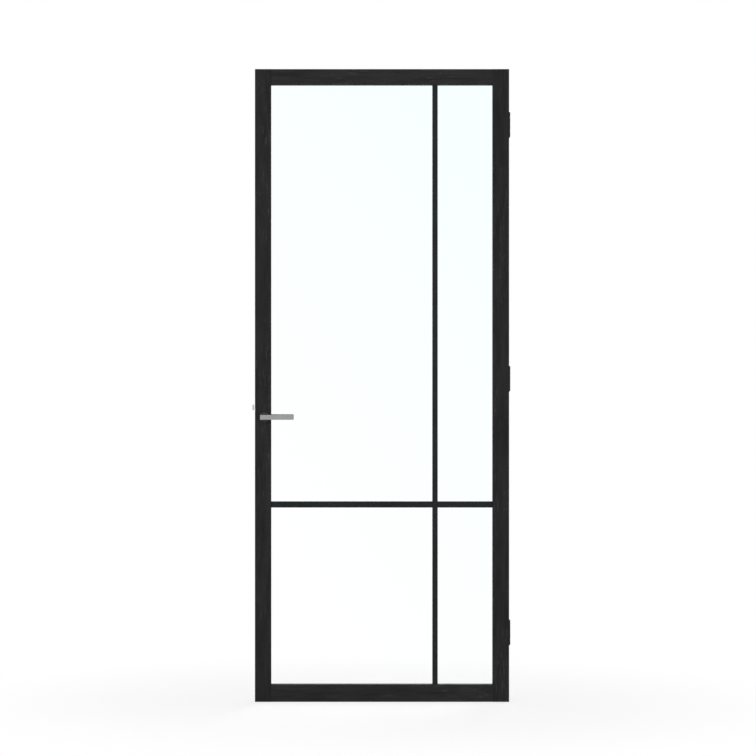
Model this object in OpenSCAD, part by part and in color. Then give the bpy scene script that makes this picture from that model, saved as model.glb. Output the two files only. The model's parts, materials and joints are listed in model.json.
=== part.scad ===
// Glass door leaf: a slim timber frame round one pane, planted glazing bars,
// a latch lock with a lever on each face, and three butt hinges.
// X runs across the leaf, Y through it (the front face is at -Y), Z up.
// The origin is the middle of the leaf's bottom face.

/* [Leaf] */
// Width of the leaf
leaf_w = 930; // [700:1:1200]
// Height of the leaf
leaf_h = 2315; // [1900:1:2600]
// Thickness of the leaf
leaf_t = 40; // [38:1:50]
// Face width of each stile
stile_w = 59.5; // [57:0.5:100]
// Face height of the top rail
top_rail_h = 57; // [50:1:120]
// Face height of the bottom rail
bottom_rail_h = 63; // [50:1:240]
// Rounding of the long edges
arris_r = 1.5; // [0.5:0.1:3]

/* [Glazing] */
// Thickness of the pane
glass_t = 6; // [4:1:8]
// Depth of the solid lip in front of the pane
lip_d = 15; // [12:0.5:18]
// How far the frame covers the edge of the pane's rebate
cover = 10; // [8:0.5:12]
// Space between the pane's edge and the rebate
glass_gap = 3; // [2:0.5:4]
// Thickness of the glazing tape
tape_t = 2; // [1:0.5:3]
// How far the glazing tape stays back from the sight line
tape_setback = 1; // [0.5:0.5:2]
// Length of the blocks that carry the pane
carrying_block = 80; // [40:5:120]
// Length of the blocks that centre the pane
centring_block = 40; // [20:5:80]
// Rounding of a bead's back edge where it meets the frame
bead_arris = 0.5; // [0.2:0.1:1]
// Length of a bead pin
pin_l = 24; // [16:1:28]
// Radius of a bead pin
pin_r = 0.7; // [0.5:0.1:1]
// Radius of a bead pin's head
pin_head_r = 1.1; // [1.1:0.1:1.6]
// Thickness of a bead pin's head
pin_head_t = 0.6; // [0.4:0.1:1]
// Largest distance between two bead pins
pin_pitch = 320; // [200:10:500]

/* [Bars] */
// Width of the upright bar
upright_w = 19; // [15:0.5:40]
// Height of the cross bar
cross_h = 22; // [15:0.5:40]
// Depth of the bars
bar_d = 9; // [6:0.5:10]
// Rounding of the bars' edges
bar_r = 1; // [0.5:0.1:2]
// Clear width between the upright bar and the hinge stile
narrow_pane_w = 201.5; // [80:0.5:280]
// Height of the cross bar's middle above the leaf's bottom
cross_z = 721.5; // [350:0.5:900]
// Thickness of the tape that holds the bars
bar_tape_t = 1; // [0.5:0.5:2]
// How far the bar tape stays back from the bar's edges
bar_tape_setback = 2; // [1:0.5:3]

/* [Corner joints] */
// Radius of a dowel
dowel_r = 5; // [3:0.5:6]
// Length of a dowel in the stile
dowel_in_stile = 30; // [20:1:38]
// Length of a dowel in the rail
dowel_in_rail = 50; // [30:1:70]
// Distance between the two dowels of a corner
dowel_pitch = 24; // [18:1:28]

/* [Lock] */
// Height of the spindle above the leaf's bottom
spindle_z = 1042; // [950:1:1150]
// Distance from the leaf's edge to the spindle
backset = 35; // [33:0.5:35]
// Depth of the lock case behind the forend
case_d = 42; // [42:0.5:43]
// Height of the lock case
case_h = 108; // [104:1:120]
// Thickness of the lock case
case_t = 14; // [13:0.5:17]
// Sheet thickness of the lock case
case_wall = 1.5; // [1:0.1:1.8]
// Height of the forend
forend_h = 170; // [156:1:220]
// Width of the forend
forend_w = 20; // [18:1:24]
// Thickness of the forend
forend_t = 3; // [2.5:0.1:3]
// Distance from each end of the forend to its screw
forend_screw_inset = 10; // [8:0.5:14]
// Height of the latch bolt's head
latch_h = 20; // [16:1:22]
// How far the latch bolt stands out of the leaf's edge
latch_out = 10; // [8:0.5:10]
// Height of the latch bolt's middle above the spindle
latch_rise = 35; // [34:0.5:38]
// Radius from the spindle to the nose of the follower's arm
arm_r = 16.5; // [16.5:0.1:17]
// Radius from the spindle to the nose of the follower's heel
heel_r = 13; // [12.5:0.1:13.5]
// Side of the square spindle
spindle_s = 8; // [7:1:8]

/* [Lever] */
// Length of the lever's bar
lever_l = 122; // [100:1:150]
// How far the lever's bar runs on past the spindle
lever_past = 15.5; // [10:0.5:20]
// Height of the lever's bar
lever_h = 18; // [18:0.5:24]
// Thickness of the lever's bar
lever_t = 10; // [8:0.5:14]
// How far the lever's front stands off the leaf's face
lever_out = 48; // [44:1:65]
// Radius of the lever's round neck
neck_r = 8; // [7.5:0.1:8.2]
// Bevel on the lever's edges
lever_bevel = 0.6; // [0.3:0.1:1]
// Depth of the spindle's socket in the neck
socket_d = 30; // [26:1:32]
// Radius of a lever's grub screw
grub_r = 2.5; // [2:0.5:3]

/* [Rose] */
// Radius of the rose
rose_r = 18; // [15:0.5:20]
// How far the rose stands off the leaf's face
rose_t = 6; // [5:0.5:9]
// Thickness of the rose's shell
rose_wall = 1.3; // [1:0.1:1.4]
// Wall of the bush round the neck
bush_wall = 1; // [0.8:0.1:1.2]
// Rounding of the rose's rim
rose_rim_r = 0.9; // [0.4:0.1:1]

/* [Hinges] */
// Height of a hinge
hinge_h = 89; // [76:1:102]
// Width of a hinge plate on the leaf's edge
plate_w = 22.5; // [21:0.5:28]
// Thickness of a hinge plate
plate_t = 2.5; // [2.3:0.1:3]
// Rounding of a hinge plate's corners
plate_r = 6; // [3:0.5:10]
// Gap between the leaf and the frame that it hangs in
hinge_gap = 2.5; // [2:0.5:4]
// Radius of the hinge knuckles
knuckle_r = 6.5; // [6:0.1:7]
// How far the knuckles stand clear of the leaf's back
knuckle_clear = 1; // [0.6:0.1:1.5]
// Radius of the hinge pin
hinge_pin_r = 3; // [2.5:0.1:3.5]
// Thickness of a bearing ring
bearing_t = 3; // [2:0.5:4]
// Height of the tip at each end of the hinge pin
tip_h = 3; // [2:0.5:5]
// Height of the top hinge's middle below the leaf's top
top_hinge_drop = 200; // [140:5:260]
// Height of the bottom hinge's middle above the leaf's bottom
bottom_hinge_rise = 250; // [160:5:320]
// Distance between a plate's screws across the leaf's edge
plate_screws_y = 10; // [9:0.5:11]
// Distance between a plate's screws along the leaf's edge
plate_screws_z = 56; // [40:1:62]
// Radius of the holes in the frame's plates
frame_hole_r = 2.5; // [2.4:0.1:2.6]

/* [Screws] */
// Shank radius of the hinge screws
hinge_screw_r = 2.2; // [1.8:0.1:2.3]
// Length of the hinge screws
hinge_screw_l = 30; // [20:1:30]
// Shank radius of the forend screws
forend_screw_r = 2; // [1.5:0.1:2.2]
// Length of the forend screws
forend_screw_l = 25; // [16:1:35]
// Shank radius of the rose screws
rose_screw_r = 1.1; // [0.9:0.1:1.2]
// Length of the rose screws
rose_screw_l = 12; // [8:1:12]
// Shank radius of the case cover's screws
case_screw_r = 1.2; // [1:0.1:1.3]
// Length of the case cover's screws
case_screw_l = 9; // [6:1:11]

/* [Clearances] */
// Radial clearance of what turns
running = 0.05; // [0.02:0.01:0.1]
// Clearance round what is let in or slides
slack = 0.25; // [0.1:0.05:0.4]
// Clearance round a screw, dowel or pin
screw_slack = 0.1; // [0.05:0.05:0.15]
// Gap between two parts that meet as they move
meeting_gap = 0.3; // [0.2:0.05:0.35]

/* [Hidden] */

// How far a cutting shape runs past the face that it cuts
over = 1;
// Facets of a round: more than 12 stands for a true circle
$fn = 48;

front_y = -leaf_t / 2;
back_y = leaf_t / 2;
edge_x = leaf_w / 2;

// The clear opening inside the stiles and rails
sight_x = edge_x - stile_w;
sight_bottom = bottom_rail_h;
sight_top = leaf_h - top_rail_h;

// The rebate that holds the pane, and the pane in it
rebate_x = sight_x + cover;
rebate_bottom = sight_bottom - cover;
rebate_top = sight_top + cover;
rebate_y = front_y + lip_d;
pane_x = rebate_x - glass_gap;
pane_bottom = rebate_bottom + glass_gap;
pane_top = rebate_top - glass_gap;
pane_front = rebate_y + tape_t;
pane_back = pane_front + glass_t;
bead_y = pane_back + tape_t;

// The bars
upright_x = sight_x - narrow_pane_w - upright_w / 2;
wide_bar_end = upright_x - upright_w / 2;
narrow_bar_start = upright_x + upright_w / 2;

// Dowels and bead pins
dowel_y = (rebate_y + back_y) / 2;
pin_y = (bead_y + back_y) / 2;
pin_inset = 60;
pin_case_gap = 12;
pin_keep_out = case_h / 2 + pin_case_gap;
rail_pin_end = rebate_x - dowel_in_rail - 2 * dowel_r - cover;
rail_pin_xs = pin_places(-rail_pin_end, rail_pin_end);
hinge_pin_zs = pin_places(sight_bottom + pin_inset, sight_top - pin_inset);

// The lock, measured inwards from the leaf's edge
lock_rise = 13;
lock_z = spindle_z + lock_rise;
case_bottom = lock_z - case_h / 2;
case_start = forend_t;
case_end = case_start + case_d;
inner_end = case_end - case_wall;
inner_half = case_t / 2 - case_wall;
lock_pin_zs = [for (z = hinge_pin_zs) if (abs(z - lock_z) > pin_keep_out) z];
latch_z = spindle_z + latch_rise;
latch_half = inner_half - slack;
latch_sink = 0.5;
throw = latch_out + latch_sink;
nose_flat = 0.5;
head_end = 14;
hook_t = 3;
tail_h = 6;
tail_t = 3;
tail_rise = 1;
tail_clear = 0.5;
tail_z = latch_z - latch_h / 2 + tail_rise;
tail_end = inner_end - throw - tail_clear;
arm_w = 6;
arm_t = 5;
arm_start = asin((backset - (tail_end - hook_t - meeting_gap - arm_w / 2)) / arm_r);
arm_end = asin((throw + tail_end - hook_t - meeting_gap - arm_w / 2 - backset) / arm_r);
lever_turn = arm_start + arm_end;
hook_rise = 15.4;
hub_r = 7.5;
boss_r = 6.5;
post_r = 2.5;
post_inset = 10.5;
post_turn = asin((arm_w / 2 + post_r + meeting_gap) / heel_r);
case_posts = [
    [backset + heel_r * sin(post_turn), spindle_z - heel_r * cos(post_turn)],
    [
        backset - heel_r * sin(lever_turn + post_turn),
        spindle_z - heel_r * cos(lever_turn + post_turn)
    ],
    [backset - post_inset, case_bottom + case_h - post_inset]
];
case_screw_head = 2 * case_screw_r;
spring_rise = 4;
spring_z = latch_z + spring_rise;
spring_r = 3.3;
spring_wire = 0.45;
spring_turns = 9;
spring_steps = 12;
spring_sides = 6;
spring_end_gap = 0.1;
guide_r = 1.6;

// The levers and roses
neck_end = back_y + meeting_gap;
bar_near = back_y + lever_out - lever_t;
grub_out = 20;
grub_y = back_y + grub_out;
grub_socket_d = 1.5;
spindle_end_gap = 0.5;
spindle_end = neck_end + socket_d - spindle_end_gap;
bush_r = neck_r + running + bush_wall;
base_inner = bush_r + running;
base_outer = rose_r - rose_wall - screw_slack;
base_gap = 1;
base_t = rose_t - rose_wall - base_gap;
bush_l = base_t + base_gap / 2;
rose_hole_r = neck_r + 0.5;
rose_screw_at = (base_inner + base_outer) / 2;
rose_screw_head = 1.8 * rose_screw_r;

// The hinges
hinge_x = edge_x + hinge_gap / 2;
hinge_y = back_y + knuckle_clear + knuckle_r;
hinge_zs = [
    bottom_hinge_rise,
    (bottom_hinge_rise + leaf_h - top_hinge_drop) / 2,
    leaf_h - top_hinge_drop
];
plate_front = back_y - plate_w;
plate_screw_y = (plate_front + back_y) / 2;
knuckle_gap = 0.3;
bearing_gap = 0.15;
bearing_r = knuckle_r - 0.3;
tip_r = knuckle_r - 1;
bearing_space = bearing_t + 2 * bearing_gap;
knuckle_l = (hinge_h - 2 * bearing_space - 2 * knuckle_gap) / 5;
knuckle_z = [
    0,
    knuckle_l + bearing_space,
    2 * knuckle_l + bearing_space + knuckle_gap,
    3 * knuckle_l + bearing_space + 2 * knuckle_gap,
    4 * knuckle_l + 2 * bearing_space + 2 * knuckle_gap
];
frame_knuckles = [0, 2, 4];
leaf_knuckles = [1, 3];
hinge_screw_head = 1.9 * hinge_screw_r;
forend_screw_head = 1.9 * forend_screw_r;

timber = [0.16, 0.165, 0.165];
bar_black = [0.14, 0.155, 0.16];
steel = [0.62, 0.62, 0.62];
dark_metal = [0.1, 0.1, 0.1];
rubber = [0.07, 0.07, 0.07];

// Places from a to b, evenly spread and no further apart than pin_pitch
function pin_places(a, b) =
    let (n = ceil((b - a) / pin_pitch))
    [for (i = [0:n]) a + (b - a) * i / n];

// Heights of the two dowels in a rail of height h
function dowel_zs(h) = [(h - cover - dowel_pitch) / 2, (h - cover + dowel_pitch) / 2];

// A square corner at the origin, with the stuff at -x -y, taken off to a quarter round
module corner_cut(r) {
    difference() {
        translate([-r, -r]) square(r + over);
        translate([-r, -r]) circle(r);
    }
}

module rounded_rect(w, h, r) {
    translate([r, 0]) square([w - 2 * r, h]);
    translate([0, r]) square([w, h - 2 * r]);
    for (x = [r, w - r], y = [r, h - r]) {
        translate([x, y]) circle(r);
    }
}

// Extrudes an outline drawn in Y and Z from x0 to x1
module along_x(x0, x1) {
    translate([x0, 0, 0]) rotate([90, 0, 90]) linear_extrude(x1 - x0) children();
}

// Extrudes an outline drawn in X and Z from y0 to y1
module along_y(y0, y1) {
    translate([0, y1, 0]) rotate([90, 0, 0]) linear_extrude(y1 - y0) children();
}

// A rod from y0 to y1
module rod_y(r, y0, y1) {
    translate([0, y0, 0]) rotate([-90, 0, 0]) cylinder(r = r, h = y1 - y0);
}

// A rod from x0 to x1
module rod_x(r, x0, x1) {
    translate([x0, 0, 0]) rotate([0, 90, 0]) cylinder(r = r, h = x1 - x0);
}

// A countersunk screw that points down from its flat head at z = 0
module screw(r, head_r, l) {
    tip = 2 * r;
    rotate_extrude() polygon([
        [0, 0], [head_r, 0], [r, r - head_r], [r, tip - l], [r / 4, -l], [0, -l]
    ]);
}

// The hole for such a screw: a countersink, then a bore of length l
module screw_hole(r, head_r, l) {
    bore = r + screw_slack;
    mouth = head_r + screw_slack;
    rotate_extrude() polygon([
        [0, over], [mouth, over], [mouth, 0], [bore, bore - mouth], [bore, -l], [0, -l]
    ]);
}

module at_lock_edge() {
    translate([-edge_x, 0, 0]) children();
}

module at_spindle() {
    translate([backset - edge_x, 0, spindle_z]) children();
}

// Turns a piece on one face of the leaf into its twin on the other
module other_face() {
    mirror([0, 1, 0]) children();
}

// Stiles and rails

// Section of a stile: the leaf's edge is at x = 0 and the pane at +x
module stile_section() {
    difference() {
        translate([0, front_y]) square([stile_w, leaf_t]);
        translate([stile_w - cover, rebate_y]) square([cover + over, leaf_t]);
        translate([0, front_y]) rotate(180) corner_cut(arris_r);
        translate([0, back_y]) rotate(90) corner_cut(arris_r);
        translate([stile_w, front_y]) rotate(-90) corner_cut(arris_r);
    }
}

// Section of a rail of height h, whose outer edge is at z = 0 and the pane above it
module rail_lip_section(h) {
    difference() {
        translate([front_y, 0]) square([lip_d, h]);
        translate([front_y, 0]) rotate(180) corner_cut(arris_r);
        translate([front_y, h]) rotate(90) corner_cut(arris_r);
    }
}

module rail_body_section(h) {
    difference() {
        translate([rebate_y, 0]) square([back_y - rebate_y, h - cover]);
        translate([back_y, 0]) rotate(-90) corner_cut(arris_r);
    }
}

module rail(h) {
    difference() {
        union() {
            along_x(-sight_x, sight_x) rail_lip_section(h);
            along_x(-rebate_x, rebate_x) rail_body_section(h);
        }
        for (side = [-1, 1]) {
            rail_dowel_holes(h, side);
        }
        for (x = rail_pin_xs) {
            translate([x, pin_y, h]) pin_hole();
        }
    }
}

module rail_dowel_holes(h, side) {
    for (z = dowel_zs(h)) {
        translate([side * rebate_x, dowel_y, z]) rotate([0, side * -90, 0])
            dowel_hole(dowel_in_rail);
    }
}

module stile() {
    difference() {
        linear_extrude(leaf_h) stile_section();
        for (z = dowel_zs(bottom_rail_h)) {
            translate([stile_w - cover, dowel_y, z]) rotate([0, -90, 0])
                dowel_hole(dowel_in_stile);
        }
        for (z = dowel_zs(top_rail_h)) {
            translate([stile_w - cover, dowel_y, leaf_h - z]) rotate([0, -90, 0])
                dowel_hole(dowel_in_stile);
        }
    }
}

module lock_stile() {
    color(timber) difference() {
        at_lock_edge() difference() {
            stile();
            lock_mortise();
            for (z = lock_pin_zs) {
                translate([stile_w, pin_y, z]) rotate([0, 90, 0]) pin_hole();
            }
        }
        at_spindle() rod_y(bush_r, front_y - over, back_y + over);
        rose_screw_places() screw_hole(rose_screw_r, rose_screw_head, rose_screw_l + over);
    }
}

// The pocket in the leaf's edge for the lock, drawn from x = 0
module lock_mortise() {
    half = case_t / 2 + slack;
    translate([-over, 0, 0]) along_x(0, forend_t + over) forend_outline(screw_slack);
    translate([0, -half, case_bottom - slack])
        cube([case_end + slack, 2 * half, case_h + 2 * slack]);
    forend_screw_places() screw_hole(forend_screw_r, forend_screw_head, forend_screw_l + over);
}

module hinge_stile() {
    color(timber) difference() {
        mirror([1, 0, 0]) at_lock_edge() stile();
        for (z = hinge_zs) {
            along_x(edge_x - plate_t, edge_x + over) {
                plate_outline(z, screw_slack);
                translate([back_y - over, z - hinge_h / 2]) square([2 * over, hinge_h]);
            }
        }
        hinge_screw_places() screw_hole(hinge_screw_r, hinge_screw_head, hinge_screw_l + over);
        for (z = hinge_pin_zs) {
            translate([sight_x, pin_y, z]) rotate([0, -90, 0]) pin_hole();
        }
    }
}

module bottom_rail() {
    color(timber) rail(bottom_rail_h);
}

module top_rail() {
    color(timber) translate([0, 0, leaf_h]) mirror([0, 0, 1]) rail(top_rail_h);
}

module dowel_hole(l) {
    translate([0, 0, -over]) cylinder(r = dowel_r + screw_slack, h = l + 2 * over);
}

// A dowel along Z from -dowel_in_rail to dowel_in_stile with bevelled ends
module dowel() {
    bevel = dowel_r / 4;
    top = dowel_in_stile;
    bottom = -dowel_in_rail;
    rotate_extrude() polygon([
        [0, bottom], [dowel_r - bevel, bottom], [dowel_r, bottom + bevel],
        [dowel_r, top - bevel], [dowel_r - bevel, top], [0, top]
    ]);
}

module corner_dowels() {
    heights = concat(dowel_zs(bottom_rail_h), [for (z = dowel_zs(top_rail_h)) leaf_h - z]);
    color("burlywood") for (side = [-1, 1], z = heights) {
        translate([side * rebate_x, dowel_y, z]) rotate([0, side * 90, 0]) dowel();
    }
}

// Pane, tapes, blocks and beads

module glass_pane() {
    color([0.85, 0.95, 0.97, 0.35]) translate([-pane_x, pane_front, pane_bottom])
        cube([2 * pane_x, glass_t, pane_top - pane_bottom]);
}

// Four strips round the pane's edge, in front of it or behind it
module glazing_tape(y) {
    inner_x = sight_x + tape_setback;
    inner_bottom = sight_bottom - tape_setback;
    inner_top = sight_top + tape_setback;
    for (side = [0, 1]) {
        mirror([side, 0, 0]) translate([inner_x, y, pane_bottom])
            cube([pane_x - inner_x, tape_t, pane_top - pane_bottom]);
    }
    translate([-inner_x, y, pane_bottom])
        cube([2 * inner_x, tape_t, inner_bottom - pane_bottom]);
    translate([-inner_x, y, inner_top])
        cube([2 * inner_x, tape_t, pane_top - inner_top]);
}

module front_glazing_tape() {
    color(rubber) glazing_tape(rebate_y);
}

module back_glazing_tape() {
    color(rubber) glazing_tape(pane_back);
}

module setting_blocks() {
    block_t = bead_y - rebate_y;
    quarter_x = pane_x / 2;
    quarter_z = (pane_top - pane_bottom) / 4;
    color("dimgray") for (side = [-1, 1]) {
        translate([side * quarter_x - carrying_block / 2, rebate_y, rebate_bottom])
            cube([carrying_block, block_t, glass_gap]);
        translate([side * quarter_x - centring_block / 2, rebate_y, pane_top])
            cube([centring_block, block_t, glass_gap]);
        for (z = [pane_bottom + quarter_z, pane_top - quarter_z]) {
            translate([side * (pane_x + glass_gap / 2) - glass_gap / 2, rebate_y, z - centring_block / 2])
                cube([glass_gap, block_t, centring_block]);
        }
    }
}

// A pin that points down from its flat head at z = 0
module pin() {
    translate([0, 0, -pin_head_t]) cylinder(r = pin_head_r, h = pin_head_t);
    translate([0, 0, -pin_l]) cylinder(r = pin_r, h = pin_l);
}

module pin_hole() {
    translate([0, 0, -pin_head_t]) cylinder(r = pin_head_r + screw_slack, h = pin_head_t + over);
    translate([0, 0, -pin_l - screw_slack]) cylinder(r = pin_r + screw_slack, h = pin_l + over);
}

// A mitred bead from a to b along x, with its outer edge at z = 0
module bead(a, b, pins) {
    difference() {
        along_y(bead_y, back_y) polygon([
            [a - cover, 0], [b + cover, 0], [b, cover], [a, cover]
        ]);
        along_x(a - cover, b + cover) {
            translate([back_y, cover]) corner_cut(arris_r);
            translate([back_y, 0]) rotate(-90) corner_cut(bead_arris);
        }
        for (p = pins) {
            translate([p, pin_y, cover]) pin_hole();
        }
    }
}

module bottom_bead() {
    color(timber) translate([0, 0, rebate_bottom]) bead(-sight_x, sight_x, rail_pin_xs);
}

module top_bead() {
    color(timber) translate([0, 0, rebate_top]) mirror([0, 0, 1])
        bead(-sight_x, sight_x, rail_pin_xs);
}

// An upright bead in the lock side's rebate
module upright_bead(pins) {
    heights = [for (z = pins) -z];
    translate([-rebate_x, 0, 0]) rotate([0, 90, 0]) bead(-sight_top, -sight_bottom, heights);
}

module lock_side_bead() {
    color(timber) upright_bead(lock_pin_zs);
}

module hinge_side_bead() {
    color(timber) mirror([1, 0, 0]) upright_bead(hinge_pin_zs);
}

module bead_pins() {
    color(steel) {
        for (x = rail_pin_xs) {
            translate([x, pin_y, sight_bottom]) pin();
            translate([x, pin_y, sight_top]) mirror([0, 0, 1]) pin();
        }
        for (z = lock_pin_zs) {
            translate([-sight_x, pin_y, z]) rotate([0, 90, 0]) pin();
        }
        for (z = hinge_pin_zs) {
            translate([sight_x, pin_y, z]) rotate([0, -90, 0]) pin();
        }
    }
}

// Glazing bars

// Outline of a bar of width w: the glass side at y = 0 and the face at y = -bar_d
module bar_section(w) {
    difference() {
        translate([-w / 2, -bar_d]) square([w, bar_d]);
        translate([-w / 2, -bar_d]) rotate(180) corner_cut(bar_r);
        translate([w / 2, -bar_d]) rotate(-90) corner_cut(bar_r);
    }
}

module upright_bar() {
    translate([upright_x, -bar_tape_t, sight_bottom]) linear_extrude(sight_top - sight_bottom)
        bar_section(upright_w);
}

module cross_bar(x0, x1) {
    along_x(x0, x1) translate([-bar_tape_t, cross_z]) mirror([1, -1]) bar_section(cross_h);
}

module wide_cross_bar() {
    cross_bar(-sight_x, wide_bar_end);
}

module narrow_cross_bar() {
    cross_bar(narrow_bar_start, sight_x);
}

module bar_tapes() {
    s = bar_tape_setback;
    z0 = cross_z - cross_h / 2 + s;
    translate([wide_bar_end + s, -bar_tape_t, sight_bottom + s])
        cube([upright_w - 2 * s, bar_tape_t, sight_top - sight_bottom - 2 * s]);
    for (span = [[-sight_x, wide_bar_end], [narrow_bar_start, sight_x]]) {
        translate([span[0] + s, -bar_tape_t, z0])
            cube([span[1] - span[0] - 2 * s, bar_tape_t, cross_h - 2 * s]);
    }
}

module on_glass_front() {
    translate([0, pane_front, 0]) children();
}

module on_glass_back() {
    translate([0, pane_back, 0]) other_face() children();
}

module front_upright_bar() {
    color(bar_black) on_glass_front() upright_bar();
}

module front_wide_cross_bar() {
    color(bar_black) on_glass_front() wide_cross_bar();
}

module front_narrow_cross_bar() {
    color(bar_black) on_glass_front() narrow_cross_bar();
}

module front_bar_tapes() {
    color(rubber) on_glass_front() bar_tapes();
}

module back_upright_bar() {
    color(bar_black) on_glass_back() upright_bar();
}

module back_wide_cross_bar() {
    color(bar_black) on_glass_back() wide_cross_bar();
}

module back_narrow_cross_bar() {
    color(bar_black) on_glass_back() narrow_cross_bar();
}

module back_bar_tapes() {
    color(rubber) on_glass_back() bar_tapes();
}

// Lock

// The forend's outline in Y and Z, grown by g, with round ends
module forend_outline(g) {
    r = forend_w / 2 + g;
    reach = forend_h / 2 - forend_w / 2;
    translate([-r, lock_z - reach]) square([2 * r, 2 * reach]);
    for (z = [lock_z - reach, lock_z + reach]) {
        translate([0, z]) circle(r);
    }
}

module forend_screw_places() {
    for (side = [-1, 1]) {
        translate([0, 0, lock_z + side * (forend_h / 2 - forend_screw_inset)])
            rotate([0, -90, 0]) children();
    }
}

// The latch bolt's slot through the forend and the case's front
module latch_slot(x0, x1) {
    y = latch_half + slack;
    z = latch_h / 2 + slack;
    translate([x0, -y, latch_z - z]) cube([x1 - x0, 2 * y, 2 * z]);
}

module lock_forend() {
    color(steel) at_lock_edge() difference() {
        along_x(0, forend_t) forend_outline(0);
        latch_slot(-over, forend_t + over);
        forend_screw_places() screw_hole(forend_screw_r, forend_screw_head, forend_t + over);
    }
}

module forend_screws() {
    color(steel) at_lock_edge() forend_screw_places()
        screw(forend_screw_r, forend_screw_head, forend_screw_l);
}

// The case's posts, placed in X and Z: two stop the heel, the last only holds the cover
module at_case_posts() {
    for (p = case_posts) {
        translate([p[0], 0, p[1]]) children();
    }
}

// The case is a tray that opens to the front, closed by its cover
module lock_case() {
    inner = [case_d - 2 * case_wall, case_h - 2 * case_wall];
    screw_reach = case_screw_l - case_t / 2 + screw_slack;
    color(steel) at_lock_edge() difference() {
        union() {
            difference() {
                along_y(-inner_half, case_t / 2) translate([case_start, case_bottom])
                    square([case_d, case_h]);
                along_y(-inner_half - over, inner_half)
                    translate([case_start + case_wall, case_bottom + case_wall]) square(inner);
            }
            at_case_posts() rod_y(post_r, -inner_half, inner_half);
        }
        latch_slot(case_start - over, case_start + case_wall + over);
        translate([backset, 0, spindle_z]) rod_y(boss_r + running, 0, case_t);
        at_case_posts() rod_y(case_screw_r + screw_slack, -inner_half - over, screw_reach);
    }
}

module lock_case_cover() {
    color(steel) at_lock_edge() difference() {
        along_y(-case_t / 2, -inner_half) translate([case_start, case_bottom])
            square([case_d, case_h]);
        translate([backset, 0, spindle_z]) rod_y(boss_r + running, -case_t, 0);
        at_case_posts() translate([0, -case_t / 2, 0]) rotate([90, 0, 0])
            screw_hole(case_screw_r, case_screw_head, case_wall + over);
    }
}

module lock_case_screws() {
    color(steel) at_lock_edge() at_case_posts() translate([0, -case_t / 2, 0])
        rotate([90, 0, 0]) screw(case_screw_r, case_screw_head, case_screw_l);
}

// Plan of the latch bolt's head: its round nose meets the strike from the front
module latch_head_plan() {
    t = 2 * latch_half;
    reach = latch_out - nose_flat;
    nose = (reach * reach + t * t) / (2 * reach);
    intersection() {
        translate([-latch_out, -latch_half]) square([nose, t]);
        translate([nose - latch_out, latch_half]) circle(nose);
    }
    translate([nose - latch_out - over, -latch_half])
        square([head_end + latch_out - nose + over, t]);
}

module latch_bolt() {
    color(steel) at_lock_edge() {
        translate([0, 0, latch_z - latch_h / 2]) linear_extrude(latch_h) latch_head_plan();
        translate([head_end - over, -tail_t / 2, tail_z])
            cube([tail_end - head_end + over, tail_t, tail_h]);
        translate([tail_end - hook_t, -tail_t / 2, spindle_z + hook_rise])
            cube([hook_t, tail_t, tail_z + tail_h - spindle_z - hook_rise]);
        translate([0, 0, spring_z]) rod_x(guide_r, head_end - over, tail_end);
    }
}

// The latch spring: a wire swept along a helix between the latch's head and the case's end
module latch_spring() {
    ends = spring_wire + spring_end_gap;
    x0 = head_end + ends;
    x1 = inner_end - ends;
    steps = spring_steps * spring_turns;
    sides = spring_sides;
    points = [
        for (i = [0:steps], k = [0:sides - 1])
            let (
                turn = 360 * i / spring_steps,
                side = 360 * k / sides,
                r = spring_r + spring_wire * cos(side)
            )
            [x0 + (x1 - x0) * i / steps + spring_wire * sin(side), r * sin(turn), r * cos(turn)]
    ];
    walls = [
        for (i = [0:steps - 1], k = [0:sides - 1])
            let (next = (k + 1) % sides)
            [i * sides + k, (i + 1) * sides + k, (i + 1) * sides + next, i * sides + next]
    ];
    start = [for (k = [0:sides - 1]) k];
    end = [for (k = [sides - 1:-1:0]) steps * sides + k];
    color(steel) at_lock_edge() translate([0, 0, spring_z])
        polyhedron(points, concat([start, end], walls), convexity = 12);
}

// An arm from the hub's middle out to a round nose at radius r, pointing up and turned by angle
module follower_arm(r, angle) {
    rotate(angle) {
        translate([-arm_w / 2, 0]) square([arm_w, r]);
        translate([0, r]) circle(arm_w / 2);
    }
}

module follower() {
    arm_half = arm_t / 2;
    color(steel) at_spindle() difference() {
        union() {
            rod_y(hub_r, slack - inner_half, inner_half - slack);
            rod_y(boss_r, -case_t / 2, case_t / 2);
            along_y(-arm_half, arm_half) follower_arm(arm_r, arm_start);
            along_y(-arm_half, arm_half) follower_arm(heel_r, 180);
        }
        spindle_bar(-case_t, case_t, screw_slack / 2);
    }
}

// A square bar from y0 to y1, grown by g on each side
module spindle_bar(y0, y1, g) {
    half = spindle_s / 2 + g;
    translate([-half, y0, -half]) cube([2 * half, y1 - y0, 2 * half]);
}

module spindle() {
    color(steel) at_spindle() spindle_bar(-spindle_end, spindle_end, 0);
}

// Levers

// A lever on the back face, with the spindle's axis at the origin
module lever() {
    difference() {
        union() {
            rod_y(neck_r, neck_end, bar_near + over);
            lever_bar();
        }
        spindle_bar(neck_end - over, neck_end + socket_d, screw_slack / 2);
        translate([0, grub_y, -neck_r - over]) cylinder(r = grub_r + screw_slack, h = neck_r + over);
    }
}

// The flat bar with all twelve edges bevelled: three prisms of bevelled outlines, intersected
module lever_bar() {
    start = -lever_past;
    bottom = -lever_h / 2;
    intersection() {
        along_y(bar_near, bar_near + lever_t) translate([start, bottom])
            bevelled_rect(lever_l, lever_h);
        along_x(start, start + lever_l) translate([bar_near, bottom])
            bevelled_rect(lever_t, lever_h);
        translate([start, bar_near, bottom]) linear_extrude(lever_h)
            bevelled_rect(lever_l, lever_t);
    }
}

module bevelled_rect(w, h) {
    b = lever_bevel;
    polygon([[b, 0], [w - b, 0], [w, b], [w, h - b], [w - b, h], [b, h], [0, h - b], [0, b]]);
}

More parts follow.
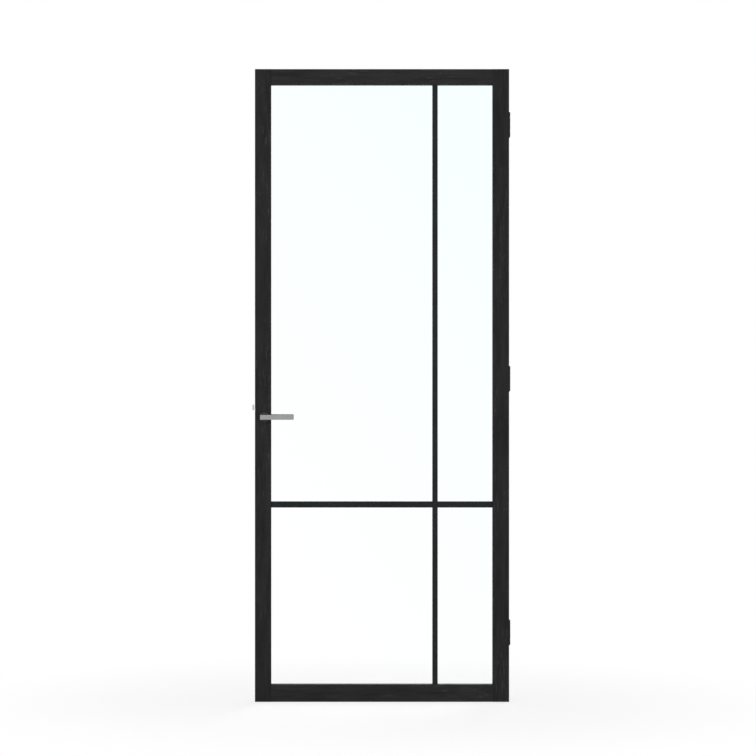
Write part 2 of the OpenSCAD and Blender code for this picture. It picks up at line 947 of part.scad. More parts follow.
module back_lever() {
    color(steel) at_spindle() lever();
}

module front_lever() {
    color(steel) at_spindle() other_face() lever();
}

module grub_screw() {
    top = -spindle_s / 2 - screw_slack;
    bottom = -sqrt(neck_r * neck_r - grub_r * grub_r);
    difference() {
        translate([0, grub_y, bottom]) cylinder(r = grub_r, h = top - bottom);
        translate([0, grub_y, bottom - over]) cylinder(r = grub_r / 2, h = grub_socket_d + over, $fn = 6);
    }
}

module lever_grub_screws() {
    color(dark_metal) at_spindle() {
        grub_screw();
        other_face() grub_screw();
    }
}

// Roses

// Turns a profile of radius and height about the spindle, standing on the back face
module on_back_face() {
    translate([0, back_y, 0]) rotate([-90, 0, 0]) rotate_extrude() children();
}

module rose() {
    on_back_face() difference() {
        translate([rose_hole_r, 0]) square([rose_r - rose_hole_r, rose_t]);
        translate([0, -over]) square([rose_r - rose_wall, rose_t - rose_wall + over]);
        translate([rose_r, rose_t]) corner_cut(rose_rim_r);
    }
}

module rose_base() {
    difference() {
        on_back_face() translate([base_inner, 0]) square([base_outer - base_inner, base_t]);
        rose_screw_pair() screw_hole(rose_screw_r, rose_screw_head, base_t + over);
    }
}

// The two screws of the back rose's base, with the heads on the base
module rose_screw_pair() {
    for (side = [-1, 1]) {
        translate([0, back_y + base_t, side * rose_screw_at]) rotate([-90, 0, 0]) children();
    }
}

module rose_screw_places() {
    at_spindle() {
        rose_screw_pair() children();
        other_face() rose_screw_pair() children();
    }
}

module lever_bush() {
    on_back_face() translate([neck_r + running, 0]) square([bush_wall, bush_l]);
}

module back_rose() {
    color(dark_metal) at_spindle() rose();
}

module front_rose() {
    color(dark_metal) at_spindle() other_face() rose();
}

module back_rose_base() {
    color(steel) at_spindle() rose_base();
}

module front_rose_base() {
    color(steel) at_spindle() other_face() rose_base();
}

module rose_screws() {
    color(steel) rose_screw_places() screw(rose_screw_r, rose_screw_head, rose_screw_l);
}

module back_lever_bush() {
    color("ivory") at_spindle() lever_bush();
}

module front_lever_bush() {
    color("ivory") at_spindle() other_face() lever_bush();
}

// Hinges

// A hinge plate's outline in Y and Z, grown by g: round corners to the front, open to the back
module plate_outline(z, g) {
    h = hinge_h + 2 * g;
    r = plate_r + g;
    translate([plate_front - g, z - h / 2]) {
        rounded_rect(plate_w + g, h, r);
        translate([r, 0]) square([plate_w + 2 * g - r, h]);
    }
}

module hinge_screw_places() {
    for (z = hinge_zs, dy = [-1, 1], dz = [-1, 1]) {
        translate([edge_x, plate_screw_y + dy * plate_screws_y / 2, z + dz * plate_screws_z / 2])
            rotate([0, 90, 0]) children();
    }
}

// Knuckles of a hinge whose middle is at height z, each with the arm that joins it to its plate
module knuckles(which, z, plate_x) {
    for (i = which) {
        translate([0, 0, z - hinge_h / 2 + knuckle_z[i]]) {
            translate([hinge_x, hinge_y, 0]) cylinder(r = knuckle_r, h = knuckle_l);
            translate([plate_x, back_y - over, 0]) cube([plate_t, hinge_y - back_y + over, knuckle_l]);
        }
    }
}

module hinge_pin_bore(z) {
    translate([hinge_x, hinge_y, z - hinge_h]) cylinder(r = hinge_pin_r + running, h = 2 * hinge_h);
}

module leaf_plate(z) {
    difference() {
        union() {
            along_x(edge_x - plate_t, edge_x) plate_outline(z, 0);
            knuckles(leaf_knuckles, z, edge_x - plate_t);
        }
        hinge_pin_bore(z);
        hinge_screw_places() screw_hole(hinge_screw_r, hinge_screw_head, plate_t + over);
    }
}

module frame_plate(z) {
    x0 = edge_x + hinge_gap;
    difference() {
        union() {
            along_x(x0, x0 + plate_t) plate_outline(z, 0);
            knuckles(frame_knuckles, z, x0);
        }
        hinge_pin_bore(z);
        translate([2 * edge_x + hinge_gap, 0, 0]) mirror([1, 0, 0]) hinge_screw_places()
            screw_hole(frame_hole_r - screw_slack, hinge_screw_head, plate_t + over);
    }
}

module hinge_pin(z) {
    stem = hinge_h + 2 * knuckle_gap;
    translate([hinge_x, hinge_y, z]) {
        translate([0, 0, -stem / 2]) cylinder(r = hinge_pin_r, h = stem);
        for (end = [0, 1]) {
            mirror([0, 0, end]) translate([0, 0, stem / 2]) rotate_extrude() polygon([
                [0, 0], [tip_r, 0], [tip_r, tip_h / 2], [tip_r / 2, tip_h], [0, tip_h]
            ]);
        }
    }
}

// Rings that carry the leaf's knuckles on the frame's, between the first two and the last two
module hinge_bearings() {
    heights = [knuckle_l + bearing_gap, hinge_h - knuckle_l - bearing_gap - bearing_t];
    color(steel) for (z = hinge_zs, h = heights) {
        translate([hinge_x, hinge_y, z - hinge_h / 2 + h]) difference() {
            cylinder(r = bearing_r, h = bearing_t);
            translate([0, 0, -over]) cylinder(r = hinge_pin_r + running, h = bearing_t + 2 * over);
        }
    }
}

module bottom_hinge_leaf_plate() {
    color(dark_metal) leaf_plate(hinge_zs[0]);
}

module middle_hinge_leaf_plate() {
    color(dark_metal) leaf_plate(hinge_zs[1]);
}

module top_hinge_leaf_plate() {
    color(dark_metal) leaf_plate(hinge_zs[2]);
}

module bottom_hinge_frame_plate() {
    color(dark_metal) frame_plate(hinge_zs[0]);
}

module middle_hinge_frame_plate() {
    color(dark_metal) frame_plate(hinge_zs[1]);
}

module top_hinge_frame_plate() {
    color(dark_metal) frame_plate(hinge_zs[2]);
}

module bottom_hinge_pin() {
    color(dark_metal) hinge_pin(hinge_zs[0]);
}

module middle_hinge_pin() {
    color(dark_metal) hinge_pin(hinge_zs[1]);
}

module top_hinge_pin() {
    color(dark_metal) hinge_pin(hinge_zs[2]);
}

module hinge_screws() {
    color(dark_metal) hinge_screw_places()
        screw(hinge_screw_r, hinge_screw_head, hinge_screw_l);
}

lock_stile();
hinge_stile();
top_rail();
bottom_rail();
corner_dowels();
glass_pane();
front_glazing_tape();
back_glazing_tape();
setting_blocks();
top_bead();
bottom_bead();
lock_side_bead();
hinge_side_bead();
bead_pins();
front_upright_bar();
front_wide_cross_bar();
front_narrow_cross_bar();
front_bar_tapes();
back_upright_bar();
back_wide_cross_bar();
back_narrow_cross_bar();
back_bar_tapes();
lock_case();
lock_case_cover();
lock_case_screws();
lock_forend();
forend_screws();
latch_bolt();
latch_spring();
follower();
spindle();
front_lever();
back_lever();
lever_grub_screws();
front_rose();
back_rose();
front_rose_base();
back_rose_base();
rose_screws();
front_lever_bush();
back_lever_bush();
top_hinge_leaf_plate();
middle_hinge_leaf_plate();
bottom_hinge_leaf_plate();
top_hinge_frame_plate();
middle_hinge_frame_plate();
bottom_hinge_frame_plate();
top_hinge_pin();
middle_hinge_pin();
bottom_hinge_pin();
hinge_bearings();
hinge_screws();
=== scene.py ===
"""Glass door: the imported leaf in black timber, clear glass, satin steel and black hinges."""

import json
import math

import bmesh
import bpy
from mathutils import Matrix, Vector


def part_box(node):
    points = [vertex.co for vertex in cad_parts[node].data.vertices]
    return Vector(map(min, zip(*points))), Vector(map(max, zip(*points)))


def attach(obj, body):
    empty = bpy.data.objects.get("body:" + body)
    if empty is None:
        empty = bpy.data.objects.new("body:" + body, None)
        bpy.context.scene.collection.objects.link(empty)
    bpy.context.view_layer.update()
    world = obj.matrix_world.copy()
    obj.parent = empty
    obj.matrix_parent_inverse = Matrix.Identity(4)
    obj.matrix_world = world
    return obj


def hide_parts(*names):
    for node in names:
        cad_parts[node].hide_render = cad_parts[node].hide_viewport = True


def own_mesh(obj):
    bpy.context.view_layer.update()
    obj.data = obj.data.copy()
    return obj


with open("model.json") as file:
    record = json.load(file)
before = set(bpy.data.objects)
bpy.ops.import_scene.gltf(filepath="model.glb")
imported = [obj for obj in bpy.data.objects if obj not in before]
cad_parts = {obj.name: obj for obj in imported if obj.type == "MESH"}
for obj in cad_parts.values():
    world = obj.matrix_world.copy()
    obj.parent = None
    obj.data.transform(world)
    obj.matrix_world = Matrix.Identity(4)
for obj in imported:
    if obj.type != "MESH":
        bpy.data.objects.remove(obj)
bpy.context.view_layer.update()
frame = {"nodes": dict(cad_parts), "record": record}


# Camera and light

SENSOR = 36.0
CAMERA_AWAY = 10.0  # from the leaf's front face
CAMERA_X = -0.26
CAMERA_Z = 1.24
SEEN_WIDTH = 2.7655  # across the picture, at the leaf's front face
PICTURE_MIDDLE = (-0.0148, 1.1849)  # the point of the front face in the picture's middle

WORLD_FILL = 0.45  # the white world's light on the pieces, as a share of what it shows
LAMP_TARGET = (0, 0, 1.1)
LAMPS = {  # name: place, width, watts
    "key": ((-2.3, -6.0, 2.7), 2.4, 137),
    "fill": ((2.8, -6.0, 1.0), 1.8, 80),
    "back": ((2.4, 6.0, 3.0), 2.4, 225),
}


def make_camera():
    """Stand square to the leaf, a little left of its middle and above it."""
    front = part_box("lock_stile")[0].y
    data = bpy.data.cameras.new("camera")
    data.sensor_width = SENSOR
    data.lens = SENSOR * CAMERA_AWAY / SEEN_WIDTH
    data.shift_x = (PICTURE_MIDDLE[0] - CAMERA_X) / SEEN_WIDTH
    data.shift_y = (PICTURE_MIDDLE[1] - CAMERA_Z) / SEEN_WIDTH
    camera = bpy.data.objects.new("camera", data)
    camera.location = (CAMERA_X, front - CAMERA_AWAY, CAMERA_Z)
    camera.rotation_euler = (math.radians(90), 0, 0)
    bpy.context.scene.collection.objects.link(camera)
    bpy.context.scene.camera = camera


def make_lamps():
    """Hang square soft lamps that face the door's middle."""
    for name, (place, width, watts) in LAMPS.items():
        data = bpy.data.lights.new(name, "AREA")
        data.size = width
        data.energy = watts
        lamp = bpy.data.objects.new(name, data)
        lamp.location = place
        facing = Vector(LAMP_TARGET) - Vector(place)
        lamp.rotation_euler = facing.to_track_quat("-Z", "Y").to_euler()
        lamp.visible_transmission = False  # no edge of a lamp shows through the pane
        bpy.context.scene.collection.objects.link(lamp)


# Node trees


class Value:
    """An output socket; sums and products of it add Math nodes."""

    def __init__(self, graph, socket):
        self.graph, self.socket = graph, socket

    def _math(self, operation, first, second):
        made = self.graph.node("ShaderNodeMath", {"operation": operation}, {0: first, 1: second})
        return made[0]

    def __add__(self, other):
        return self._math("ADD", self, other)

    def __sub__(self, other):
        return self._math("SUBTRACT", self, other)

    def __mul__(self, other):
        return self._math("MULTIPLY", self, other)

    def __rsub__(self, other):
        return self._math("SUBTRACT", other, self)

    __radd__ = __add__
    __rmul__ = __mul__

    def or_more(self, other):
        """The larger of two values."""
        return self._math("MAXIMUM", self, other)

    def between(self, low, high):
        """Nothing below low, one above high, and a smooth rise in the middle."""
        settings = {"interpolation_type": "SMOOTHSTEP"}
        made = self.graph.node("ShaderNodeMapRange", settings, {"Value": self, 1: low, 2: high})
        return made[0]

    def rise(self, start, end, height):
        """Nothing up to start, then a straight rise to height at end."""
        inputs = {"Value": self, 1: start, 2: end, 4: height}
        return self.graph.node("ShaderNodeMapRange", None, inputs)[0]


class Outputs:
    """A node's outputs by index or name."""

    def __init__(self, graph, node):
        self.graph, self.node = graph, node

    def __getitem__(self, key):
        return Value(self.graph, self.node.outputs[key])


class Graph:
    """A node tree that starts empty and is filled one call a node."""

    def __init__(self, tree):
        self.tree = tree
        tree.nodes.clear()

    def node(self, kind, settings=None, inputs=None):
        """Add a node: its settings first, then its sockets' values or links."""
        made = self.tree.nodes.new(kind)
        for name, value in (settings or {}).items():
            setattr(made, name, value)
        self.fill(made, inputs or {})
        return Outputs(self, made)

    def fill(self, node, inputs):
        """Set a node's sockets by index or name, to values or links."""
        for name, value in inputs.items():
            if isinstance(value, Value):
                self.tree.links.new(value.socket, node.inputs[name])
            else:
                node.inputs[name].default_value = value

    def seen_directly(self):
        """One for camera, mirror and glass rays, and nothing for the rest."""
        path = self.node("ShaderNodeLightPath")
        seen = path["Is Camera Ray"].or_more(path["Is Glossy Ray"])
        return seen.or_more(path["Is Transmission Ray"])


class Finish(Graph):
    """A procedural material on one Principled shader."""

    def __init__(self, name):
        self.material = bpy.data.materials.new(name)
        self.material.use_nodes = True
        super().__init__(self.material.node_tree)
        shader = self.node("ShaderNodeBsdfPrincipled")
        self.shader = shader.node
        self.node("ShaderNodeOutputMaterial", None, {"Surface": shader[0]})

    def surface(self, **sockets):
        """Set the shader's sockets, with an underscore for each space in a name."""
        self.fill(self.shader, {name.replace("_", " "): v for name, v in sockets.items()})

    def place(self, scale=(1, 1, 1), shift=(0, 0, 0)):
        """The piece's own coordinates in metres, stretched and shifted."""
        where = self.node("ShaderNodeTexCoord")["Object"]
        inputs = {"Vector": where, "Location": shift, "Scale": scale}
        return self.node("ShaderNodeMapping", None, inputs)[0]

    def noise(self, where, scale, detail=3.0, roughness=0.5, sway=0.0):
        """Cloudy noise of a scale in cycles a metre, bent by its sway."""
        inputs = {"Vector": where, "Scale": scale, "Detail": detail, "Roughness": roughness}
        inputs["Distortion"] = sway
        return self.node("ShaderNodeTexNoise", None, inputs)[0]

    def blend(self, share, first, second):
        """A colour from the first to the second as share goes from 0 to 1."""
        inputs = {0: share, 6: colour(first), 7: colour(second)}
        return self.node("ShaderNodeMix", {"data_type": "RGBA"}, inputs)[2]

    def bump(self, height, depth, strength):
        """A relief of a depth in metres."""
        inputs = {"Height": height, "Distance": depth, "Strength": strength}
        return self.node("ShaderNodeBump", None, inputs)[0]


def colour(value):
    """A colour for a socket, from three numbers or a link."""
    return value if isinstance(value, Value) else (*value, 1.0)


def grey(level, warm=1.0, cool=1.0):
    """A near grey from a level as the picture writes it, 0 to 255."""
    share = level / 255
    linear = share / 12.92 if share <= 0.04045 else ((share + 0.055) / 1.055) ** 2.4
    return (linear * warm, linear, linear * cool)


def drawn_out(along, share):
    """A scale for noise that is drawn out along X or Z, where its frequency is this share."""
    return (share, 1, 1) if along == "x" else (1, 1, share)


# Materials

WORN = (60, 1.03, 0.97)  # the light streaks in the timber
BAR_TINT = (0.7, 1.03)  # the bars' black has less red in it, and a little more blue


def stained_timber(along):
    """Black stained, matt lacquered timber, with its grain along X or Z."""
    finish = Finish("stained_timber_" + along)
    short, long, longest = (drawn_out(along, share) for share in (0.13, 0.03, 0.012))
    bands = finish.noise(finish.place(short), 42, 4.0, 0.6)
    fibres = finish.noise(finish.place(long), 420, 3.0, 0.6)
    pores = finish.noise(finish.place(longest, (0.31, 0.17, 0.43)), 1500, 2.0)
    cloud = finish.noise(finish.place(), 3.5, 2.0)
    tone = bands * 0.55 + fibres * 0.35 + cloud * 0.1
    # painted light: the rails, the same timber as the stiles, get a lighter ground for the light
    # that falls on them
    dark_with_painted_rail_light = {"x": 22, "z": 17}[along]  # the rails are a little lighter than the stiles
    ground = finish.blend(tone.between(0.34, 0.66), grey(dark_with_painted_rail_light), grey(dark_with_painted_rail_light + 17, 1.0, 0.99))
    streaks = finish.noise(finish.place(short, (0.2, 0.1, 0.7)), 190, 3.0, 0.5, 0.4)
    worn_share = streaks.between(0.54, 0.7) * fibres.between(0.4, 0.6) * cloud.between(0.46, 0.58)
    worn = finish.blend(worn_share * 0.8, ground, grey(*WORN))
    relief = fibres * 0.6 + pores * 0.4
    finish.surface(
        Base_Color=worn,
        Roughness=0.5 + fibres * 0.22,
        Specular_IOR_Level=0.11,
        Normal=finish.bump(relief, 0.00012, 0.55),
    )
    return finish.material


def painted_bars(along):
    """Smooth black paint on the glazing bars, brushed out along them."""
    finish = Finish("painted_bars_" + along)
    strokes = finish.noise(finish.place(drawn_out(along, 0.05)), 520, 2.0)
    cloud = finish.noise(finish.place(), 9, 2.0)
    tone = (cloud * 0.6 + strokes * 0.4).between(0.3, 0.7)
    finish.surface(
        Base_Color=finish.blend(tone, grey(20, *BAR_TINT), grey(30, *BAR_TINT)),
        Roughness=0.42 + strokes * 0.16,
        Specular_IOR_Level=0.11,
        Normal=finish.bump(strokes, 0.00006, 0.4),
    )
    return finish.material


def bare_timber():
    """Pale beech of the dowels."""
    finish = Finish("bare_timber")
    grain = finish.noise(finish.place(drawn_out("x", 0.05)), 500, 3.0)
    finish.surface(
        Base_Color=finish.blend(grain, (0.52, 0.33, 0.17), (0.66, 0.46, 0.27)),
        Roughness=0.6 + grain * 0.2,
        Normal=finish.bump(grain, 0.0001, 0.5),
    )
    return finish.material


def clear_glass():
    """Clear toughened glass; its faintest cyan, which grows towards the top right, is partly its
    own tint and partly painted light.
    """
    finish = Finish("clear_glass")
    where = finish.node("ShaderNodeSeparateXYZ", None, {0: finish.place()})
    # painted light: the cyan grows towards the top right, where the pane's own tint would be even
    share = where["Z"] * 0.4 + where["X"] * 0.55 - 0.02
    tint_with_painted_light = finish.blend(share, (1.0, 1.0, 1.0), (0.935, 1.0, 1.0))
    finish.surface(Base_Color=tint_with_painted_light, Roughness=0.0, IOR=1.5, Transmission_Weight=1.0)
    return finish.material


def brushed_steel(name, level, along, roughness):
    """Satin steel, brushed along X or Z."""
    finish = Finish(name)
    hairs = finish.noise(finish.place(drawn_out(along, 0.02)), 2600, 3.0, 0.7)
    cloud = finish.noise(finish.place(), 30, 2.0)
    share = (hairs * 0.6 + cloud * 0.4).between(0.3, 0.7)
    finish.surface(
        Base_Color=finish.blend(share, grey(level - 6), grey(level + 5, 1.0, 0.985)),
        Metallic=1.0,
        Roughness=roughness + hairs * 0.14,
        Normal=finish.bump(hairs, 0.00002, 0.5),
    )
    return finish.material


def satin_black(name, level, gloss, roughness):
    """Black coating on metal, with its faint orange peel."""
    finish = Finish(name)
    peel = finish.noise(finish.place(), 1100, 1.5)
    cloud = finish.noise(finish.place(), 40, 2.0)
    finish.surface(
        Base_Color=finish.blend(cloud.between(0.3, 0.7), grey(level), grey(level + 7)),
        Roughness=roughness + cloud * 0.12,
        Specular_IOR_Level=gloss,
        Normal=finish.bump(peel, 0.00004, 0.5),
    )
    return finish.material


def soft_plastic(name, low, high, roughness, depth):
    """Rubber, foam or moulded plastic with a fine skin."""
    finish = Finish(name)
    skin = finish.noise(finish.place(), 1400, 2.0)
    finish.surface(
        Base_Color=finish.blend(skin, low, high),
        Roughness=roughness + skin * 0.15,
        Specular_IOR_Level=0.3,
        Normal=finish.bump(skin, depth, 0.6),
    )
    return finish.material


def make_finishes():
    """The materials by slot; timber and paint have one for each way that the grain runs, and the
    timber's copy for the rails carries painted light in its lighter ground.
    """
    finishes = {
        "bare_timber": bare_timber(),
        "glass": clear_glass(),
        "rubber": soft_plastic("rubber", grey(18), grey(30), 0.75, 0.00008),
        "bright_steel": brushed_steel("bright_steel", 178, "z", 0.34),
        "latch_metal": brushed_steel("latch_metal", 190, "x", 0.26),
        "lever_steel": brushed_steel("lever_steel", 124, "x", 0.34),
        "black_metal": satin_black("black_metal", 20, 0.3, 0.36),
        "bearing_steel": brushed_steel("bearing_steel", 150, "x", 0.22),
        "nylon": soft_plastic("nylon", (0.6, 0.57, 0.5), (0.7, 0.67, 0.6), 0.4, 0.00003),
    }
    for way in "xz":
        finishes["stained_timber", way] = stained_timber(way)
        finishes["painted_bars", way] = painted_bars(way)
    return finishes


def dress_nodes(finishes):
    """Give each CAD node the material of its slot, with the grain along the piece."""
    rose = satin_black("rose_black", 16, 0.36, 0.22)
    for part in frame["record"]["subparts"]:
        node, slot = part["node"], part["material_slot"]
        low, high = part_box(node)
        way = "z" if high.z - low.z > high.x - low.x else "x"
        material = finishes.get(slot) or finishes[slot, way]
        if node in ("front_rose", "back_rose"):
            material = rose
        mesh = frame["nodes"][node].data
        mesh.materials.clear()
        mesh.materials.append(material)
    # Lamps shine through the pane: clear glass has next to no shadow
    frame["nodes"]["glass_pane"].visible_shadow = False


# Screws and the latch's spring

SCREW_SIDES = 32
RIM_BREAK = 0.08  # this and the cross recess's sizes are shares of the head's radius
CROSS_MOUTH = (0.56, 0.13)  # reach and half width
CROSS_FLOOR = (0.3, 0.08)
CROSS_DEPTH = 0.5
SHARP_ANGLE = math.radians(35)
SAME_POINT = 1e-6
FIRST_SEED = 4  # of the turns that the screws stop at
SCREWS = {  # node: its slot, and the head's radius in shanks
    "hinge_screws": ("black_metal", 1.9),
    "forend_screws": ("bright_steel", 1.9),
    "lock_case_screws": ("bright_steel", 2.0),
    "rose_screws": ("bright_steel", 1.8),
}
SPRING_WIRE = 0.00045  # the wire's radius
SPRING_TURNS = 9
SPRING_STEPS = 24  # points in a turn
WIRE_SIDES = 10
CLOSED_PITCH = 2.1  # of the first and last turn, in the wire's radius


def ring_of(shape, radius, z):
    """Points on a circle."""
    points = []
    for i in range(SCREW_SIDES):
        turn = math.tau * i / SCREW_SIDES
        points.append(shape.verts.new((radius * math.cos(turn), radius * math.sin(turn), z)))
    return points


def cross_of(shape, reach, half, z):
    """Points on the outline of an upright cross."""
    points = []
    for quarter in range(4):
        spin = Matrix.Rotation(math.radians(90 * quarter), 3, "Z")
        for x, y in ((reach, -half), (reach, half), (half, half)):
            points.append(shape.verts.new(spin @ Vector((x, y, z))))
    return points


def wall_between(shape, first, second):
    """A band of faces between two outlines with as many points."""
    for i in range(len(first)):
        j = (i + 1) % len(first)
        shape.faces.new((first[i], second[i], second[j], first[j]))


def outline_edges(shape, points):
    """The edges of a closed outline."""
    return [shape.edges.get(pair) for pair in zip(points, points[1:] + points[:1])]


def countersunk_screw(name, shank, head, length):
    """One screw that points down from its flat head, which has a broken rim and a cross recess."""
    shape = bmesh.new()
    rim = RIM_BREAK * head
    profile = [
        (head - rim, 0),
        (head - rim / 2, -rim / 2),
        (shank, shank - head),
        (shank, 2 * shank - length),
        (shank / 4, -length),
    ]
    rings = [ring_of(shape, radius, z) for radius, z in profile]
    for upper, lower in zip(rings, rings[1:]):
        wall_between(shape, upper, lower)
    shape.faces.new(rings[-1])
    mouth = cross_of(shape, CROSS_MOUTH[0] * head, CROSS_MOUTH[1] * head, 0)
    floor = cross_of(shape, CROSS_FLOOR[0] * head, CROSS_FLOOR[1] * head, -CROSS_DEPTH * head)
    wall_between(shape, mouth, floor)
    shape.faces.new(floor)
    edges = outline_edges(shape, rings[0]) + outline_edges(shape, mouth)
    bmesh.ops.triangle_fill(shape, use_beauty=True, edges=edges)
    bmesh.ops.recalc_face_normals(shape, faces=shape.faces)
    mesh = bpy.data.meshes.new(name)
    shape.to_mesh(mesh)
    shape.free()
    mesh.shade_smooth()
    mesh.set_sharp_from_angle(angle=SHARP_ANGLE)
    return bpy.data.objects.new(name, mesh)


def shells_of(node):
    """The box of each separate solid of a CAD node, always in the same order."""
    shape = bmesh.new()
    shape.from_mesh(frame["nodes"][node].data)
    bmesh.ops.remove_doubles(shape, verts=shape.verts, dist=SAME_POINT)
    boxes, left = [], set(shape.verts)
    while left:
        shell, edge = set(), [left.pop()]
        while edge:
            point = edge.pop()
            shell.add(point)
            near = {link.other_vert(point) for link in point.link_edges} & left
            left -= near
            edge.extend(near)
        low = Vector(min(point.co[i] for point in shell) for i in range(3))
        high = Vector(max(point.co[i] for point in shell) for i in range(3))
        boxes.append((low, high))
    shape.free()
    return sorted(boxes, key=lambda box: tuple(round(number, 5) for number in box[0]))


def way_out(low, high):
    """The way that a screw's head faces: along its length, away from the piece that it holds."""
    size = high - low
    along = max(range(3), key=lambda i: size[i])
    out = Vector((0, 0, 0))
    out[along] = 1 if (low + high)[along] > 0 else -1
    return out


def grown(name, tree, given, places, ways):
    """Run a node tree on points that each face a way, and keep the outcome as one mesh."""
    points = bpy.data.meshes.new(name + "_places")
    points.from_pydata(places, [], [])
    facing = points.attributes.new("facing", "FLOAT_VECTOR", "POINT")
    facing.data.foreach_set("vector", [number for way in ways for number in way])
    carrier = bpy.data.objects.new(name + "_places", points)
    bpy.context.scene.collection.objects.link(carrier)
    modifier = carrier.modifiers.new("grown", "NODES")
    modifier.node_group = tree
    for item in tree.interface.items_tree:
        if item.name in given:
            modifier[item.identifier] = given[item.name]
    ready = carrier.evaluated_get(bpy.context.evaluated_depsgraph_get())
    piece = bpy.data.objects.new(name, bpy.data.meshes.new_from_object(ready))
    bpy.context.scene.collection.objects.link(piece)
    bpy.data.objects.remove(carrier)
    return piece


def new_tree(name, kinds):
    """An empty geometry tree with named inputs; gives its graph and those inputs."""
    tree = bpy.data.node_groups.new(name, "GeometryNodeTree")
    for socket, kind in kinds.items():
        tree.interface.new_socket(socket, in_out="INPUT", socket_type="NodeSocket" + kind)
    tree.interface.new_socket("Piece", in_out="OUTPUT", socket_type="NodeSocketGeometry")
    graph = Graph(tree)
    return graph, graph.node("NodeGroupInput")


def finish_tree(graph, geometry, finish):
    """End a tree in real geometry with its material."""
    solid = graph.node("GeometryNodeRealizeInstances", None, {0: geometry})[0]
    dressed = graph.node("GeometryNodeSetMaterial", None, {"Geometry": solid, "Material": finish})
    graph.node("NodeGroupOutput", None, {0: dressed[0]})
    return graph.tree


def screw_setter():
    """A tree that sets a screw on each point, facing its way, each with a turn of its own."""
    kinds = {"Places": "Geometry", "Screw": "Object", "Seed": "Int", "Finish": "Material"}
    graph, given = new_tree("set_screws", kinds)
    screw = graph.node("GeometryNodeObjectInfo", None, {"Object": given["Screw"]})["Geometry"]
    facing = graph.node(
        "GeometryNodeInputNamedAttribute", {"data_type": "FLOAT_VECTOR"}, {"Name": "facing"}
    )[0]
    out = graph.node("FunctionNodeAlignRotationToVector", {"axis": "Z"}, {"Vector": facing})[0]
    turn = graph.node(
        "FunctionNodeRandomValue", {"data_type": "FLOAT"}, {3: math.tau, "Seed": given["Seed"]}
    )[1]
    spin = graph.node("ShaderNodeCombineXYZ", None, {"Z": turn})[0]
    spun = graph.node("FunctionNodeEulerToRotation", None, {0: spin})[0]
    turned = graph.node(
        "FunctionNodeRotateRotation", {"rotation_space": "LOCAL"}, {0: out, 1: spun}
    )[0]
    placed = graph.node(
        "GeometryNodeInstanceOnPoints",
        None,
        {"Points": given["Places"], "Instance": screw, "Rotation": turned},
    )[0]
    return finish_tree(graph, placed, given["Finish"])


def set_screws(finishes):
    """Replace the CAD's plain screws, in the same holes, by screws with a cross recess."""
    tree = screw_setter()
    for seed, (node, (slot, ratio)) in enumerate(SCREWS.items(), FIRST_SEED):
        boxes = shells_of(node)
        ways = [way_out(low, high) for low, high in boxes]
        places = []
        for (low, high), way in zip(boxes, ways):
            half_length = abs((high - low).dot(way)) / 2
            places.append((low + high) / 2 + way * half_length)
        size = sorted(boxes[0][1] - boxes[0][0])
        screw = countersunk_screw(node + "_one", size[0] / 2 / ratio, size[0] / 2, size[2])
        given = {"Screw": screw, "Seed": seed, "Finish": finishes[slot]}
        piece = grown(node + "_with_recess", tree, given, places, ways)
        bpy.data.objects.remove(screw)
        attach(piece, "leaf")
        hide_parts(node)


def spring_winder():
    """A tree that winds a compression spring along X, with its first and last turn closed."""
    kinds = {"Places": "Geometry", "Radius": "Float", "Wire": "Float", "Length": "Float"}
    kinds.update(Turns="Float", Finish="Material")
    graph, given = new_tree("wind_spring", kinds)
    inputs = {"Resolution": SPRING_STEPS, "Rotations": given["Turns"], "Height": 0.0}
    inputs.update({"Start Radius": given["Radius"], "End Radius": given["Radius"]})
    coil = graph.node("GeometryNodeCurveSpiral", None, inputs)[0]
    turn = graph.node("GeometryNodeSplineParameter")["Factor"] * given["Turns"]
    closed = given["Wire"] * CLOSED_PITCH
    open_length = given["Length"] - closed * 2
    last_start = given["Turns"] - 1.0
    first = turn.rise(0.0, 1.0, closed)
    middle = turn.rise(1.0, last_start, open_length)
    last = turn.rise(last_start, given["Turns"], closed)
    flat = graph.node(
        "ShaderNodeSeparateXYZ", None, {0: graph.node("GeometryNodeInputPosition")[0]}
    )
    along = graph.node(
        "ShaderNodeCombineXYZ", None, {"X": first + middle + last, "Y": flat["X"], "Z": flat["Y"]}
    )[0]
    wound = graph.node("GeometryNodeSetPosition", None, {"Geometry": coil, "Position": along})[0]
    section = graph.node(
        "GeometryNodeCurvePrimitiveCircle",
        None,
        {"Resolution": WIRE_SIDES, "Radius": given["Wire"]},
    )[0]
    wire = graph.node(
        "GeometryNodeCurveToMesh",
        None,
        {"Curve": wound, "Profile Curve": section, "Fill Caps": True},
    )[0]
    placed = graph.node(
        "GeometryNodeInstanceOnPoints", None, {"Points": given["Places"], "Instance": wire}
    )[0]
    return finish_tree(graph, placed, given["Finish"])


def latch_spring(finishes):
    """The latch's spring, wound at one length and carried by the leaf; in the lock the bolt
    presses it together as it goes in.
    """
    low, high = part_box("latch_spring")
    given = {
        "Radius": (high.z - low.z) / 2 - SPRING_WIRE,
        "Wire": SPRING_WIRE,
        "Length": high.x - low.x - 2 * SPRING_WIRE,
        "Turns": float(SPRING_TURNS),
        "Finish": finishes["bright_steel"],
    }
    place = Vector((low.x + SPRING_WIRE, (low.y + high.y) / 2, (low.z + high.z) / 2))
    spring = grown("latch_spring_wound", spring_winder(), given, [place], [(0, 0, 1)])
    spring.data.shade_smooth()
    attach(spring, "leaf")
    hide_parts("latch_spring")
    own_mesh(spring)


# Floor and background

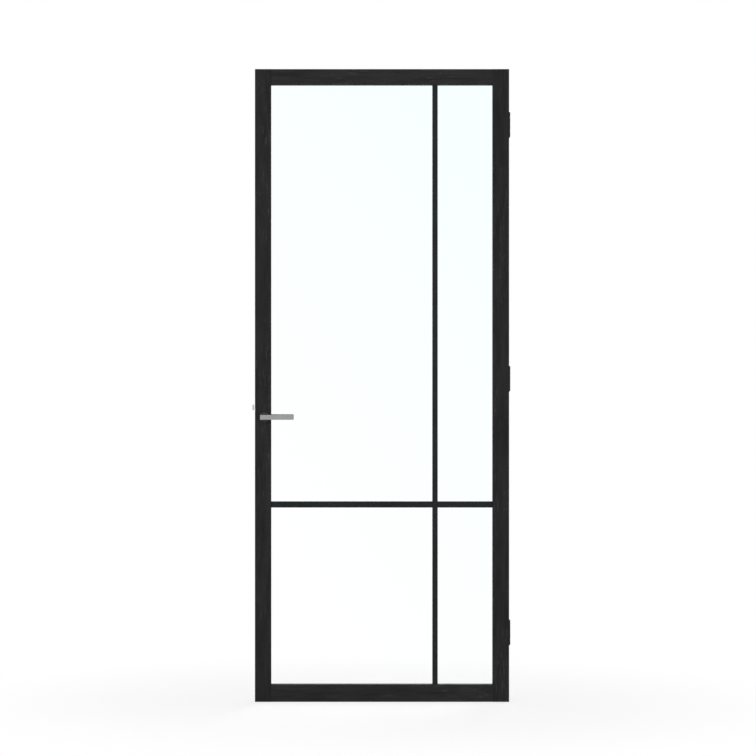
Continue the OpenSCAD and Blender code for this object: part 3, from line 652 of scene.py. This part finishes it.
FLOOR_REACH = 9.0
FLOOR_DROP = 0.0005  # under the leaf's bottom, so that the two don't share a plane
FLOOR_GLOW = 0.78  # share of the floor's own white near the door: the rest takes the shadow
FLOOR_FADE = (0.5, 1.7)  # from the door's middle to here, that share rises to the whole
FLOOR_PAPER = (0.9, 0.9, 0.9)
WHITE = (1, 1, 1)


def make_floor():
    """A pale floor that looks white and keeps the door's shadow."""
    mesh = bpy.data.meshes.new("floor")
    r = FLOOR_REACH
    mesh.from_pydata([(-r, -r, 0), (r, -r, 0), (r, r, 0), (-r, r, 0)], [], [(0, 1, 2, 3)])
    floor = bpy.data.objects.new("floor", mesh)
    bpy.context.scene.collection.objects.link(floor)
    floor.location.z = -FLOOR_DROP
    material = bpy.data.materials.new("floor")
    material.use_nodes = True
    graph = Graph(material.node_tree)
    where = graph.node("ShaderNodeTexCoord")["Object"]
    away = graph.node("ShaderNodeVectorMath", {"operation": "LENGTH"}, {0: where})["Value"]
    glow = graph.seen_directly() * (FLOOR_GLOW + away.between(*FLOOR_FADE) * (1 - FLOOR_GLOW))
    paper = graph.node("ShaderNodeBsdfDiffuse", None, {"Color": colour(FLOOR_PAPER)})[0]
    white = graph.node("ShaderNodeEmission", None, {"Color": colour(WHITE)})[0]
    mix = graph.node("ShaderNodeMixShader", None, {0: glow, 1: paper, 2: white})[0]
    graph.node("ShaderNodeOutputMaterial", None, {"Surface": mix})
    mesh.materials.append(material)


def make_world():
    """White where it is seen, and a soft fill of a lower strength for everything else."""
    world = bpy.data.worlds.new("studio")
    world.use_nodes = True
    graph = Graph(world.node_tree)
    strength = WORLD_FILL + graph.seen_directly() * (1 - WORLD_FILL)
    sky = graph.node("ShaderNodeBackground", None, {"Color": colour(WHITE), "Strength": strength})
    graph.node("ShaderNodeOutputWorld", None, {"Surface": sky[0]})
    bpy.context.scene.world = world


make_camera()
make_world()
make_floor()
make_lamps()
finishes = make_finishes()
dress_nodes(finishes)
set_screws(finishes)
latch_spring(finishes)
bpy.context.scene.view_settings.view_transform = "Standard"
